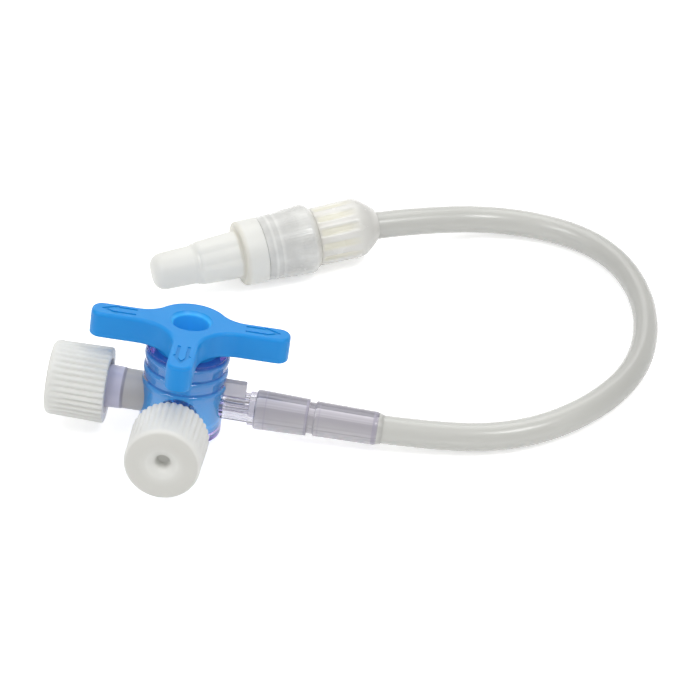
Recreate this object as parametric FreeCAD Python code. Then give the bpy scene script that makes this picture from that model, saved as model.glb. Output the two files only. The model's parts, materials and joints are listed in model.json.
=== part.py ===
"""Three way stopcock with a short extension line, all its ports capped.

The clear barrel holds a blue tapered plug whose three armed handle shows which
ports are open. Two ports carry ribbed luer caps. The third is a socket for a
soft tube, which lies in a loop on the table and ends in a rotating luer lock
connector with its own cap.

Units are millimetres, +Z is up and the table is z = 0. The stopcock's own
frame has the tap's axis along Z, the tube port along +X and the front port
along -Y. The connector's own frame has its axis along Z, from the tube (u = 0)
to the cap's tip.
"""

import FreeCAD, Part
import os
import math

os.makedirs("parts", exist_ok=True)

V = FreeCAD.Vector

# fits
RUN_GAP = 0.05            # radial clearance of the pieces that turn
TAPER_GAP = 0.03          # between a luer cone and its socket
LUER_TAPER = 0.03         # radius per mm, the 6 % luer

# tube
TUBE_R = 2.1
TUBE_BORE_R = 1.5
PASSAGE_R = 1.25

# barrel
BARREL_R = 6.1
BARREL_TOP = 8.35
BARREL_BASE = 4.8         # below the port axis
BASE_ROUND = 0.35
BORE_R = 4.7
RING_PITCH = 1.4
RING_HIGH = 0.14

# tap
PLUG_END = -3.9
SNAP_Z = -3.0
SNAP_HIGH = 0.25
HANDLE_TOP = 12.8
HANDLE_THICK = 4.0
HUB_R = 5.7               # the round back of the handle
ARM_LENGTH = 14.6
ARM_HALF = 1.9
FRONT_HOLLOW = 5.5        # fillet between the front arm and the side arms
BACK_HOLLOW = 4.5         # fillet between the hub's back and the side arms
TOP_ROUND = 0.5
FOOT_ROUND = 0.3
HOLE_R = 2.65
HOLE_LIP = 0.5
HOLE_END = 3.4
TAP_TURN = 1.2            # how the tap was left, about its axis

# capped ports, measured along the port from the tap's axis
PORT_NECK_R = 2.75
PORT_STEP = 8.6
PORT_R = 3.05
PORT_END = 18.3
PORT_MOUTH_R = 2.15
PORT_DEPTH = 7.6
LUG_R = 3.9
LUG_LONG = 1.2
CAP_REACH = 1.7           # of a cap's face beyond its port's mouth
CAP_LONG = 8.75
CAP_END = PORT_END + CAP_REACH
CAP_OPEN = CAP_END - CAP_LONG
FRONT_CAP_OUT = 0.4       # the front cap is screwed on a little less far
CAP_OPEN_R = 5.65
CAP_END_R = 5.5
CAP_RIBS = 44
CAP_RIB_DEEP = 0.24
CAP_WALL = 1.15
CAP_HOLE_R = 1.05
CAP_HOLE_DEEP = 4.5
CAP_DISH = 0.6
CAP_DISH_R = 3.0

# tube port
FLUTED_R = 2.2
FLUTES = 10
FLUTE_R = 0.34
NECK_RING_R = 2.5
NECK_RING_START = 9.9
SOCKET_START = 10.8
SOCKET_END = 18.7
SOCKET_R0 = 2.95
SOCKET_R1 = 2.73
SOCKET_FLOOR = 11.6
TAB_START = 5.6
TAB_END = 9.2
TAB_FOOT = 1.5
TAB_TOP = 4.0
TAB_THICK = 1.3

# loose sleeve on the tube
SLEEVE_GAP = 0.9          # from the socket
SLEEVE_LONG = 8.5
SLEEVE_START = SOCKET_END + SLEEVE_GAP
SLEEVE_END = SLEEVE_START + SLEEVE_LONG
SLEEVE_CONE = 2.5
SLEEVE_R0 = 2.62
SLEEVE_R1 = 2.47

# connector, measured along its axis from the tube
HUB_CONE = 3.0
HUB_END = 10.0
CONE_R = 2.35
HUB_R0 = 4.7
HUB_R1 = 4.55
HUB_RIBS = 12
TUBE_SEAT = 6.5
NECK_R = 2.85
BEAD_R = 3.25
COLLAR_START = 10.25
COLLAR_END = 18.7
COLLAR_WEB = 1.8
COLLAR_R0 = 5.45
COLLAR_R1 = 4.9
COLLAR_BORE_R = 3.95
COLLAR_RIBS = 28
LUER_TIP = 20.8
LUER_TIP_R = 1.97
FLANGE_LONG = 3.6
FLANGE_R = 5.05
FLANGE_GAP = 0.15
CAP_BODY_LONG = 7.25
CAP_BODY_R0 = 4.0
CAP_BODY_R1 = 3.5
CAP_TIP_LONG = 6.6
CAP_TIP_R = 2.95
CAP_INNER_R = 3.45
CAP_LUG_R = 3.85

# the stopcock's rest: turned, tipped to the tube's side and leaning back on
# the barrel's bottom rim
TURN, TIP, LEAN = -7.5, 5.5, -14.2

# the connector lies on its collar, on the table
CONNECTOR_AT = (28.5, 40.7)
CONNECTOR_TURN = 199.4

# the tube's route between its two seats, on the table
FLOOR_R = TUBE_R + 0.02
ROUTE_BENDS = [
    (51.0, -4.7, FLOOR_R),
    (66.9, 7.1, FLOOR_R),
    (71.1, 24.0, FLOOR_R),
    (64.9, 39.4, FLOOR_R),
    (49.6, 46.1, FLOOR_R),
]
TUBE_START = 12.4         # inside the socket
TUBE_STRAIGHT = 32.0
TUBE_LEAD = -3.0          # outside the connector
TUBE_STOP = 6.0


def corner_wire(points):
    """A closed wire through (x, y) or (x, y, radius) corners in the XY plane."""
    n = len(points)
    ends = []
    edges = []
    for i, point in enumerate(points):
        here = V(point[0], point[1], 0)
        radius = point[2] if len(point) > 2 else 0.0
        if radius <= 0:
            ends.append((here, here, None))
            continue
        before = V(points[i - 1][0], points[i - 1][1], 0) - here
        after = V(points[(i + 1) % n][0], points[(i + 1) % n][1], 0) - here
        before.normalize()
        after.normalize()
        half = before.getAngle(after) / 2
        reach = radius / math.tan(half)
        middle = before + after
        middle.normalize()
        centre = here + middle * (radius / math.sin(half))
        ends.append((here + before * reach, here + after * reach, centre - middle * radius))
    for i in range(n):
        start, stop, through = ends[i]
        if through is not None:
            edges.append(Part.Arc(start, through, stop).toShape())
        following = ends[(i + 1) % n][0]
        if (following - stop).Length > 1e-6:
            edges.append(Part.LineSegment(stop, following).toShape())
    return Part.Wire(edges)


def turned(profile):
    """A solid of revolution about Z from (radius, height[, corner]) points."""
    wire = corner_wire(profile)
    face = Part.Face(wire)
    face.rotate(V(0, 0, 0), V(1, 0, 0), 90)
    return face.revolve(V(0, 0, 0), V(0, 0, 1), 360)


def rod(radius, start, stop):
    return Part.makeCylinder(radius, stop - start, V(0, 0, start))


def cone(r0, r1, start, stop):
    return Part.makeCone(r0, r1, stop - start, V(0, 0, start))


def around(shape, count, first=0.0):
    copies = []
    for i in range(count):
        copy = shape.copy()
        copy.rotate(V(0, 0, 0), V(0, 0, 1), first + 360.0 * i / count)
        copies.append(copy)
    return copies


def aimed(shape, direction):
    """Turn a piece that was made along +Z to lie along another axis."""
    copy = shape.copy()
    turn = FreeCAD.Rotation(V(0, 0, 1), V(*direction))
    copy.Placement = FreeCAD.Placement(V(0, 0, 0), turn).multiply(copy.Placement)
    return copy


def luer_socket(mouth, mouth_r, depth):
    """The tapered hole of a female luer whose mouth is at height mouth."""
    return cone(mouth_r - LUER_TAPER * depth, mouth_r, mouth - depth, mouth)


# barrel

def barrel_profile():
    outer = [(BARREL_R, -BARREL_BASE, BASE_ROUND)]
    for k in (3, 2, 1):
        middle = BARREL_TOP - RING_PITCH * k + 0.35
        outer += [
            (BARREL_R, middle - 0.45),
            (BARREL_R + RING_HIGH, middle - 0.2, 0.1),
            (BARREL_R + RING_HIGH, middle + 0.2, 0.1),
            (BARREL_R, middle + 0.45),
        ]
    outer += [(BARREL_R, BARREL_TOP, 0.3), (BORE_R, BARREL_TOP, 0.2)]
    groove = SNAP_HIGH + 0.05
    inner = [
        (BORE_R, SNAP_Z + 0.75),
        (BORE_R + groove, SNAP_Z + 0.35),
        (BORE_R + groove, SNAP_Z - 0.35),
        (BORE_R, SNAP_Z - 0.75),
        (BORE_R, -BARREL_BASE, 0.2),
    ]
    return outer + inner


def capped_port():
    """A female luer port along +Z with the two lugs of its mouth."""
    shape = turned([
        (0, 0),
        (PORT_NECK_R, 0),
        (PORT_NECK_R, PORT_STEP),
        (PORT_R, PORT_STEP + 0.25),
        (PORT_R, PORT_END, 0.2),
        (0, PORT_END),
    ])
    ring = rod(LUG_R, PORT_END - LUG_LONG - 0.2, PORT_END - 0.2)
    keep = Part.makeBox(2 * LUG_R, 3.4, LUG_LONG, V(-LUG_R, -1.7, PORT_END - LUG_LONG - 0.2))
    return shape.fuse(ring.common(keep))


def tube_port():
    """The fluted neck and the tube's socket along +Z."""
    ring_end = SOCKET_START + 0.1
    neck = rod(FLUTED_R, 0, NECK_RING_START + 0.3)
    flute = rod(FLUTE_R, BARREL_R - 1.1, NECK_RING_START)
    flute.translate(V(FLUTED_R + 0.12, 0, 0))
    neck = neck.cut(Part.makeCompound(around(flute, FLUTES, 180 / FLUTES)))
    ring = turned([(0, NECK_RING_START), (NECK_RING_R, NECK_RING_START, 0.15),
                   (NECK_RING_R, ring_end), (0, ring_end)])
    socket = turned([
        (0, SOCKET_START),
        (SOCKET_R0, SOCKET_START, 0.45),
        (SOCKET_R0 - 0.02, SOCKET_START + 1.1),
        (SOCKET_R1, SOCKET_END, 0.12),
        (0, SOCKET_END),
    ])
    return neck.fuse([ring, socket])


def stopcock_body():
    blank = turned([
        (0, -BARREL_BASE + 1.0),
        (BARREL_R - 0.5, -BARREL_BASE + 1.0),
        (BARREL_R - 0.5, BARREL_TOP - 1.0),
        (0, BARREL_TOP - 1.0),
    ])
    tab = Part.makeBox(TAB_END - TAB_START, TAB_THICK, TAB_TOP - TAB_FOOT,
                       V(TAB_START, -TAB_THICK / 2, TAB_FOOT))
    tab = tab.makeFillet(0.2, [e for e in tab.Edges if e.CenterOfMass.z > TAB_FOOT + 0.1
                               and e.CenterOfMass.x > TAB_START + 0.1])
    solid = blank.fuse([
        turned(barrel_profile()),
        aimed(capped_port(), (-1, 0, 0)),
        aimed(capped_port(), (0, -1, 0)),
        aimed(tube_port(), (1, 0, 0)),
        tab,
    ])
    luer = luer_socket(PORT_END, PORT_MOUTH_R, PORT_DEPTH)
    passage = rod(PASSAGE_R, 0, PORT_END)
    seat = rod(TUBE_R, SOCKET_FLOOR, SOCKET_END + 1)
    channel = rod(PASSAGE_R, 0, SOCKET_FLOOR + 0.5)
    bore = turned([
        (0, -BARREL_BASE - 1),
        (BORE_R, -BARREL_BASE - 1),
        (BORE_R, SNAP_Z - 0.75),
        (BORE_R + SNAP_HIGH + 0.05, SNAP_Z - 0.35),
        (BORE_R + SNAP_HIGH + 0.05, SNAP_Z + 0.35),
        (BORE_R, SNAP_Z + 0.75),
        (BORE_R, BARREL_TOP + 1),
        (0, BARREL_TOP + 1),
    ])
    cuts = [bore]
    for direction in ((-1, 0, 0), (0, -1, 0)):
        cuts += [aimed(luer, direction), aimed(passage, direction)]
    cuts += [aimed(seat, (1, 0, 0)), aimed(channel, (1, 0, 0))]
    return solid.cut(cuts)


# tap

def arrow(angle):
    """The engraved outline of an arrow along one arm."""
    deep = 0.3
    strokes = []
    for side in (-1, 1):
        strokes.append(((8.2, 0.62 * side), (10.9, 0.62 * side)))
        strokes.append(((10.9, 0.62 * side), (10.7, 1.15 * side)))
        strokes.append(((10.7, 1.15 * side), (12.6, 0.0)))
    bars = []
    for a, b in strokes:
        length = math.hypot(b[0] - a[0], b[1] - a[1])
        bar = Part.makeBox(length + 0.22, 0.22, deep + 0.5, V(-0.11, -0.11, -deep))
        bar.rotate(V(0, 0, 0), V(0, 0, 1), math.degrees(math.atan2(b[1] - a[1], b[0] - a[0])))
        bar.translate(V(a[0], a[1], HANDLE_TOP))
        bars.append(bar)
    shape = bars[0].multiFuse(bars[1:])
    shape.rotate(V(0, 0, 0), V(0, 0, 1), angle)
    return shape


def upright_edges(shape, height, places):
    """The shape's vertical edges, half way up at a height, at (x, y) places."""
    found = []
    for edge in shape.Edges:
        middle = edge.CenterOfMass
        if abs(middle.z - height) > 0.01:
            continue
        if any(math.hypot(middle.x - x, middle.y - y) < 0.01 for x, y in places):
            found.append(edge)
    return found


def handle():
    """Three arms, hollowed at the front corners, on a hub that is round at the back."""
    low = HANDLE_TOP - HANDLE_THICK
    half_way = low + HANDLE_THICK / 2
    arms = []
    for angle in (0, 180, 270):
        tip = 0.85 * ARM_HALF
        wire = corner_wire([
            (0, -ARM_HALF),
            (ARM_LENGTH, -ARM_HALF, tip),
            (ARM_LENGTH, ARM_HALF, tip),
            (0, ARM_HALF),
        ])
        arm = Part.Face(wire).extrude(V(0, 0, HANDLE_THICK))
        arm.translate(V(0, 0, low))
        arm.rotate(V(0, 0, 0), V(0, 0, 1), angle)
        arms.append(arm)
    shape = arms[0].multiFuse(arms[1:]).removeSplitter()
    corners = [(ARM_HALF, -ARM_HALF), (-ARM_HALF, -ARM_HALF)]
    shape = shape.makeFillet(FRONT_HOLLOW, upright_edges(shape, half_way, corners))
    back = Part.makeCylinder(HUB_R, HANDLE_THICK, V(0, 0, low), V(0, 0, 1), 180)
    shape = shape.fuse(back).removeSplitter()
    reach = math.sqrt(HUB_R ** 2 - ARM_HALF ** 2)
    corners = [(reach, ARM_HALF), (-reach, ARM_HALF)]
    shape = shape.makeFillet(BACK_HOLLOW, upright_edges(shape, half_way, corners))
    rims = [e for e in shape.Edges if abs(e.CenterOfMass.z - HANDLE_TOP) < 0.001]
    shape = shape.makeFillet(TOP_ROUND, rims)
    rims = [e for e in shape.Edges if abs(e.CenterOfMass.z - low) < 0.001]
    return shape.makeFillet(FOOT_ROUND, rims)


def tap_handle():
    plug_r = BORE_R - RUN_GAP
    plug = turned([
        (0, PLUG_END),
        (plug_r, PLUG_END, 0.4),
        (plug_r, SNAP_Z - 0.7),
        (plug_r + SNAP_HIGH, SNAP_Z - 0.3),
        (plug_r + SNAP_HIGH, SNAP_Z + 0.3),
        (plug_r, SNAP_Z + 0.7),
        (plug_r, HANDLE_TOP - HANDLE_THICK + 0.5),
        (0, HANDLE_TOP - HANDLE_THICK + 0.5),
    ])
    solid = handle().fuse(plug)
    across = aimed(rod(PASSAGE_R, -BORE_R - 1, BORE_R + 1), (1, 0, 0))
    front = aimed(rod(PASSAGE_R, 0, BORE_R + 1), (0, -1, 0))
    hole = turned([
        (0, HOLE_END),
        (HOLE_R - 0.25, HOLE_END, 0.3),
        (HOLE_R, HANDLE_TOP - HOLE_LIP),
        (HOLE_R + HOLE_LIP, HANDLE_TOP),
        (HOLE_R + HOLE_LIP, HANDLE_TOP + 1),
        (0, HANDLE_TOP + 1),
    ])
    return solid.cut([across, front, hole, arrow(0), arrow(180), arrow(270)])


# caps of the two free ports

def port_cap():
    """A ribbed cap along +Z with its inner cone and dished, holed end."""
    points = []
    for i in range(4 * CAP_RIBS):
        angle = math.pi * (i + 0.5) / (2 * CAP_RIBS)
        radius = CAP_OPEN_R if i % 4 in (0, 1) else CAP_OPEN_R - CAP_RIB_DEEP
        points.append(V(radius * math.cos(angle), radius * math.sin(angle), CAP_OPEN))
    ribbed = Part.Face(Part.makePolygon(points + [points[0]]))
    ribbed = ribbed.extrude(V(0, 0, CAP_END - CAP_OPEN))
    envelope = turned([
        (0, CAP_OPEN),
        (CAP_OPEN_R - 0.05, CAP_OPEN),
        (CAP_OPEN_R + 0.02, CAP_OPEN + 0.25),
        (CAP_END_R, CAP_END, 0.7),
        (CAP_DISH_R, CAP_END, 0.8),
        (CAP_HOLE_R, CAP_END - CAP_DISH, 0.2),
        (CAP_HOLE_R, CAP_END - CAP_HOLE_DEEP),
        (0, CAP_END - CAP_HOLE_DEEP),
    ])
    solid = ribbed.common(envelope)
    floor = CAP_END - CAP_WALL
    hollow = turned([
        (0, CAP_OPEN - 1),
        (LUG_R + 0.25, CAP_OPEN - 1),
        (LUG_R + 0.25, CAP_OPEN),
        (LUG_R + 0.12, CAP_OPEN + 0.3),
        (LUG_R + 0.12, floor, 0.3),
        (0, floor),
    ])
    tip = PORT_END - PORT_DEPTH + 1.0
    tip_r = PORT_MOUTH_R - LUER_TAPER * (PORT_DEPTH - 1.0) - TAPER_GAP
    root_r = PORT_MOUTH_R - TAPER_GAP + LUER_TAPER * (floor - PORT_END)
    stem = turned([
        (0, tip),
        (tip_r, tip, 0.2),
        (root_r, floor),
        (root_r, floor + 0.3),
        (0, floor + 0.3),
    ])
    hole = rod(CAP_HOLE_R, CAP_END - CAP_HOLE_DEEP, CAP_END)
    return solid.cut(hollow).fuse(stem).cut(hole)


def tube_sleeve():
    cone_end = SLEEVE_END + SLEEVE_CONE
    return turned([
        (TUBE_R, SLEEVE_START),
        (SLEEVE_R0, SLEEVE_START, 0.3),
        (SLEEVE_R1, SLEEVE_END, 0.6),
        (TUBE_R + 0.12, cone_end),
        (TUBE_R, cone_end),
    ])


# connector

def luer_cone_r(u):
    return LUER_TIP_R + LUER_TAPER * (LUER_TIP - u)


def luer_hub():
    web_end = COLLAR_START + COLLAR_WEB
    bead_end = web_end + 0.95
    solid = turned([
        (0, 0),
        (CONE_R, 0, 0.1),
        (HUB_R0, HUB_CONE, 1.0),
        (HUB_R1, HUB_END, 0.2),
        (NECK_R, HUB_END),
        (NECK_R, web_end + 0.12),
        (BEAD_R, web_end + 0.12, 0.1),
        (BEAD_R - 0.15, bead_end),
        (luer_cone_r(bead_end), bead_end),
        (LUER_TIP_R, LUER_TIP, 0.2),
        (0, LUER_TIP),
    ])
    groove = Part.makeBox(1.0, 0.95, HUB_END - HUB_CONE + 2, V(HUB_R1 - 0.32, -0.475, HUB_CONE + 0.5))
    solid = solid.cut(around(groove, HUB_RIBS, 180 / HUB_RIBS))
    seat = rod(TUBE_R, -1, TUBE_SEAT)
    return solid.cut([seat, rod(PASSAGE_R, 0, LUER_TIP + 1)])


def luer_lock_collar():
    web_end = COLLAR_START + COLLAR_WEB
    solid = turned([
        (NECK_R + RUN_GAP, COLLAR_START, 0.15),
        (COLLAR_R0 - 0.9, COLLAR_START, 0.3),
        (COLLAR_R0, COLLAR_START + 1.0, 0.3),
        (COLLAR_R1, COLLAR_END, 0.25),
        (COLLAR_BORE_R, COLLAR_END, 0.1),
        (COLLAR_BORE_R, web_end, 0.3),
        (NECK_R + RUN_GAP, web_end),
    ])
    slope = (COLLAR_R0 - COLLAR_R1) / (COLLAR_END - COLLAR_START - 1.0)
    groove = Part.makeBox(1.0, 0.5, 4.3, V(COLLAR_R0 - 0.14, -0.25, 0))
    groove.rotate(V(COLLAR_R0, 0, 0), V(0, 1, 0), -math.degrees(math.atan(slope)))
    groove.translate(V(0, 0, COLLAR_START + 1.1))
    return solid.cut(around(groove, COLLAR_RIBS))


def luer_end_cap():
    start = COLLAR_START + COLLAR_WEB + 1.6
    flange = COLLAR_END + FLANGE_GAP
    body = flange + FLANGE_LONG
    step = body + CAP_BODY_LONG
    end = step + CAP_TIP_LONG
    solid = turned([
        (0, start),
        (CAP_INNER_R, start, 0.15),
        (CAP_INNER_R, flange),
        (FLANGE_R, flange, 0.3),
        (FLANGE_R, body, 0.5),
        (CAP_BODY_R0 - 0.35, body, 0.3),
        (CAP_BODY_R1 - 0.3, step),
        (CAP_TIP_R, step, 0.3),
        (CAP_TIP_R - 0.15, end, 1.6),
        (0, end),
    ])
    fin_r0 = CAP_BODY_R0
    fin_r1 = CAP_BODY_R1
    fin = turned([
        (0, body - 0.5),
        (fin_r0, body - 0.5),
        (fin_r1 + 0.12, step - 0.9, 1.0),
        (CAP_TIP_R, step + 0.1),
        (0, step + 0.1),
    ])
    slab = Part.makeBox(2 * fin_r0 + 1, 2.6, CAP_BODY_LONG + 1, V(-fin_r0 - 0.5, -1.3, body - 0.5))
    cross = slab.fuse(around(slab, 2)[1:] + around(slab, 4)[1:2])
    solid = solid.fuse(fin.common(cross))
    ring = rod(CAP_LUG_R, start, start + 1.2)
    keep = Part.makeBox(2 * CAP_LUG_R, 3.2, 1.2, V(-CAP_LUG_R, -1.6, start))
    solid = solid.fuse(ring.common(keep))
    deep = LUER_TIP + 0.5
    taper = cone(luer_cone_r(start) + TAPER_GAP, luer_cone_r(deep) + TAPER_GAP, start, deep)
    return solid.cut([taper, rod(1.5, start, end - 1.8)])


# where the two rigid groups lie

def stopcock_placement():
    turn = FreeCAD.Rotation(TURN, TIP, LEAN)
    tilt = V(0, 0, 1).getAngle(turn.multVec(V(0, 0, 1)))
    rise = (BARREL_BASE - BASE_ROUND) * math.cos(tilt) + (BARREL_R - BASE_ROUND) * math.sin(tilt)
    return FreeCAD.Placement(V(0, 0, rise + BASE_ROUND), turn)


def connector_placement():
    heading = math.radians(CONNECTOR_TURN)
    turn = FreeCAD.Rotation(V(0, 0, 1), V(math.cos(heading), math.sin(heading), 0))
    return FreeCAD.Placement(V(CONNECTOR_AT[0], CONNECTOR_AT[1], COLLAR_R0), turn)


def tube_route(stopcock, connector):
    points = [
        stopcock.multVec(V(TUBE_START, 0, 0)),
        stopcock.multVec(V(TUBE_STRAIGHT, 0, 0)),
    ]
    points += [V(*p) for p in ROUTE_BENDS]
    points += [
        connector.multVec(V(0, 0, TUBE_LEAD)),
        connector.multVec(V(0, 0, TUBE_STOP)),
    ]
    return points


def route_wire(points):
    """Straight runs joined by tangent arcs as large as the runs allow."""
    edges = []
    radii = []
    at = points[0]
    for i in range(1, len(points) - 1):
        back = points[i - 1] - points[i]
        ahead = points[i + 1] - points[i]
        reach = 0.45 * min(back.Length, ahead.Length)
        back.normalize()
        ahead.normalize()
        half = back.getAngle(ahead) / 2
        radius = reach * math.tan(half)
        radii.append(radius)
        start = points[i] + back * reach
        stop = points[i] + ahead * reach
        middle = back + ahead
        middle.normalize()
        centre = points[i] + middle * (radius / math.sin(half))
        edges.append(Part.LineSegment(at, start).toShape())
        edges.append(Part.Arc(start, centre - middle * radius, stop).toShape())
        at = stop
    edges.append(Part.LineSegment(at, points[-1]).toShape())
    return Part.Wire(edges), radii


def extension_tube(points):
    path, radii = route_wire(points)
    along = points[1] - points[0]
    rings = []
    for radius in (TUBE_R, TUBE_BORE_R):
        rings.append(Part.Wire([Part.makeCircle(radius, points[0], along)]))
    outer = path.makePipeShell([rings[0]], True, False)
    inner = path.makePipeShell([rings[1]], True, False)
    solid = outer.cut(inner)
    expected = math.pi * (TUBE_R ** 2 - TUBE_BORE_R ** 2) * path.Length
    print("tube radii", [round(r, 1) for r in radii])
    print("tube runs", [round((b - a).Length, 1) for a, b in zip(points, points[1:])])
    print("tube length", round(path.Length, 2), "volume", round(solid.Volume, 2),
          "section times length", round(expected, 2))
    return solid


def placed(shape, placement):
    copy = shape.copy()
    copy.Placement = placement.multiply(copy.Placement)
    return copy


def build():
    stopcock = stopcock_placement()
    connector = connector_placement()
    tap = FreeCAD.Placement(V(0, 0, 0), FreeCAD.Rotation(V(0, 0, 1), TAP_TURN))
    side = FreeCAD.Placement(V(0, 0, 0), FreeCAD.Rotation(V(0, 0, 1), V(-1, 0, 0)))
    front = FreeCAD.Placement(V(0, -FRONT_CAP_OUT, 0), FreeCAD.Rotation(V(0, 0, 1), V(0, -1, 0)))
    out = FreeCAD.Placement(V(0, 0, 0), FreeCAD.Rotation(V(0, 0, 1), V(1, 0, 0)))
    cap = port_cap()
    route = tube_route(stopcock, connector)
    pieces = {
        "stopcock_body": placed(stopcock_body(), stopcock),
        "tap_handle": placed(tap_handle(), stopcock.multiply(tap)),
        "side_port_cap": placed(cap, stopcock.multiply(side)),
        "front_port_cap": placed(cap, stopcock.multiply(front)),
    }
    # the origin is on the table under the middle of the stopcock itself
    box = FreeCAD.BoundBox()
    for shape in pieces.values():
        box.add(shape.optimalBoundingBox(False, False))
    shift = V(-box.Center.x, -box.Center.y, 0)
    pieces["tube_sleeve"] = placed(tube_sleeve(), stopcock.multiply(out))
    pieces["luer_hub"] = placed(luer_hub(), connector)
    pieces["luer_lock_collar"] = placed(luer_lock_collar(), connector)
    pieces["luer_end_cap"] = placed(luer_end_cap(), connector)
    pieces["extension_tube"] = extension_tube(route)
    for name, shape in pieces.items():
        shape.translate(shift)
        solid = shape.Solids[0]
        print(name, "solids", len(shape.Solids), "valid", solid.isValid(),
              "volume", round(solid.Volume, 1))
        solid.exportStep("parts/%s.step" % name)
    print("tube route", [tuple(round(c, 2) for c in p + shift) for p in route])
    print("stopcock at", tuple(round(c, 4) for c in stopcock.Base + shift))
    print("connector at", tuple(round(c, 4) for c in connector.Base + shift))
    for name, placement in (("stopcock", stopcock), ("connector", connector)):
        for axis in ((1, 0, 0), (0, 1, 0), (0, 0, 1)):
            along = placement.Rotation.multVec(V(*axis))
            print(name, "axis", axis, tuple(round(c, 6) for c in along))


build()
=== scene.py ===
"""Looks of a three way stopcock and its extension line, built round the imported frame.

The stopcock's own drawings are in millimetres, with the tap's axis along Z, the
tube port along +X and the front port along -Y. The connector's are along its
own axis, from the tube to the cap's tip. The frame's joints say where both lie.
"""

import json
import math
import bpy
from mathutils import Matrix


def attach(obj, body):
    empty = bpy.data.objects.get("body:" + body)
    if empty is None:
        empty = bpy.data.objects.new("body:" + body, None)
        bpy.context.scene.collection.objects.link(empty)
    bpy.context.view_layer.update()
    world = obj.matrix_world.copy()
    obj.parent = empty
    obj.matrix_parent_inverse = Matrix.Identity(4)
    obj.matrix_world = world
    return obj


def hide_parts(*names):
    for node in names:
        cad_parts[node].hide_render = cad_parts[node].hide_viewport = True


bl_info = {
    "name": "Three way stopcock",
    "version": (1, 0, 0),
    "blender": (4, 5, 0),
    "location": "View3D > Sidebar > Stopcock",
    "description": "Builds a capped three way stopcock with its extension line",
    "category": "Add Mesh",
}

import bmesh
import bpy
from bpy.props import FloatProperty, FloatVectorProperty, IntProperty, PointerProperty
from mathutils import Matrix, Vector

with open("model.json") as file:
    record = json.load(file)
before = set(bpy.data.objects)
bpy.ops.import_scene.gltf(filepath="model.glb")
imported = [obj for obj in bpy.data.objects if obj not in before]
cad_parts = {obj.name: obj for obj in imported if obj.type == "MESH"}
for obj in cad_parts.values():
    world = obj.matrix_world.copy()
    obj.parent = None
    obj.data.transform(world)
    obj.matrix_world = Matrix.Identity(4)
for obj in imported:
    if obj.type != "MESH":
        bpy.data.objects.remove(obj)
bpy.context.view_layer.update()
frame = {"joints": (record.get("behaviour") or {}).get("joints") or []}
JOINTS = {joint["name"]: joint for joint in frame["joints"]}
MM = 0.001

# the tube's route in metres: the points of the part's source, where the fifth and the last
# but one are moved by less than 0.5 mm to fit the photograph, and the tube's width there
ROUTE = [
    (0.01306, 0.00467, 0.00496),
    (0.03233, 0.00176, 0.00289),
    (0.05182, 0.00158, 0.00212),
    (0.06772, 0.01338, 0.00212),
    (0.07155, 0.03028, 0.00212),
    (0.06572, 0.04568, 0.00212),
    (0.05042, 0.05238, 0.00212),
    (0.03225, 0.04768, 0.00525),
    (0.02366, 0.04499, 0.00545),
]
ROUTE_WIDTH = [1.0, 1.0, 1.0, 0.97, 0.85, 0.92, 1.0, 1.0, 1.0]

# shared sizes in mm: the passages' radius and the luer fittings' cones
PASSAGE = 1.25
LUER_MOUTH = 2.15
LUER_DEPTH = 7.6
LUER_TAPER = 0.03

# small moves that fit the photograph: the tap's turn in degrees, the caps along their ports in mm
TAP_TURN = 1.2
SIDE_CAP_OUT = -0.25
FRONT_CAP_OUT = 0.4

# how far the ports stand out of the barrel before they count as ports, in mm
PORT_STEP = 0.22
# the barrel's tone gives way to the ports' grey painted shade between these distances from the tap's axis,
# in metres
TONE_STEP = (0.0063, 0.0066)
# edges that turn by more than this, in degrees, stay crisp
CREASE = 32
# the colour sockets of a Mix node
MIX_BASE, MIX_OVER, MIX_RESULT = 6, 7, 2


def frame_matrix(origin, x_axis, z_axis):
    """The placement of drawings in millimetres, from two of their axes."""
    z = Vector(z_axis).normalized()
    y = z.cross(Vector(x_axis)).normalized()
    x = y.cross(z)
    turn = Matrix((x, y, z)).transposed().to_4x4()
    return Matrix.Translation(origin) @ turn @ Matrix.Scale(MM, 4)


STOPCOCK = frame_matrix(
    JOINTS["tap_turn"]["pos_m"],
    -Vector(JOINTS["side_cap_pull"]["axis"]),
    JOINTS["tap_turn"]["axis"],
)
CONNECTOR = frame_matrix(
    JOINTS["collar_spin"]["pos_m"],
    (0, 0, 1),
    JOINTS["collar_spin"]["axis"],
)
# the way that the sleeve's and the socket's upper side faces, where their shade is painted on
PAINTED_SHADE_FACING = (-0.08, 0.67, 0.74)
# from a drawing along Z to each of the stopcock's ports
TO_SIDE = Matrix.Rotation(-math.pi / 2, 4, "Y")
TO_TUBE = Matrix.Rotation(math.pi / 2, 4, "Y")
TO_FRONT = Matrix.Rotation(math.pi / 2, 4, "X")


# meshes

def lathe(profile, steps=96, ring=False):
    """A bmesh spun about Z from (radius, height[, corner]) points in mm."""
    bm = bmesh.new()
    line = [bm.verts.new((p[0], 0, p[1])) for p in profile]
    for a, b in zip(line, line[1:]):
        bm.edges.new((a, b))
    if ring:
        bm.edges.new((line[-1], line[0]))
    for point, vert in zip(profile, line):
        if len(point) > 2:
            bmesh.ops.bevel(bm, geom=[vert], offset=point[2], affect="VERTICES",
                            segments=4, profile=0.5, material=-1)
    bmesh.ops.spin(bm, geom=bm.verts[:] + bm.edges[:], cent=(0, 0, 0), axis=(0, 0, 1),
                   angle=2 * math.pi, steps=steps, use_merge=True)
    bmesh.ops.remove_doubles(bm, verts=bm.verts, dist=1e-5)
    bmesh.ops.recalc_face_normals(bm, faces=bm.faces)
    return bm


def slab(size, low):
    """A box of a size in mm whose lowest corner is low."""
    bm = bmesh.new()
    bmesh.ops.create_cube(bm, size=1)
    bmesh.ops.scale(bm, vec=size, verts=bm.verts)
    middle = Vector(low) + Vector(size) / 2
    bmesh.ops.translate(bm, vec=middle, verts=bm.verts)
    return bm


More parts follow.
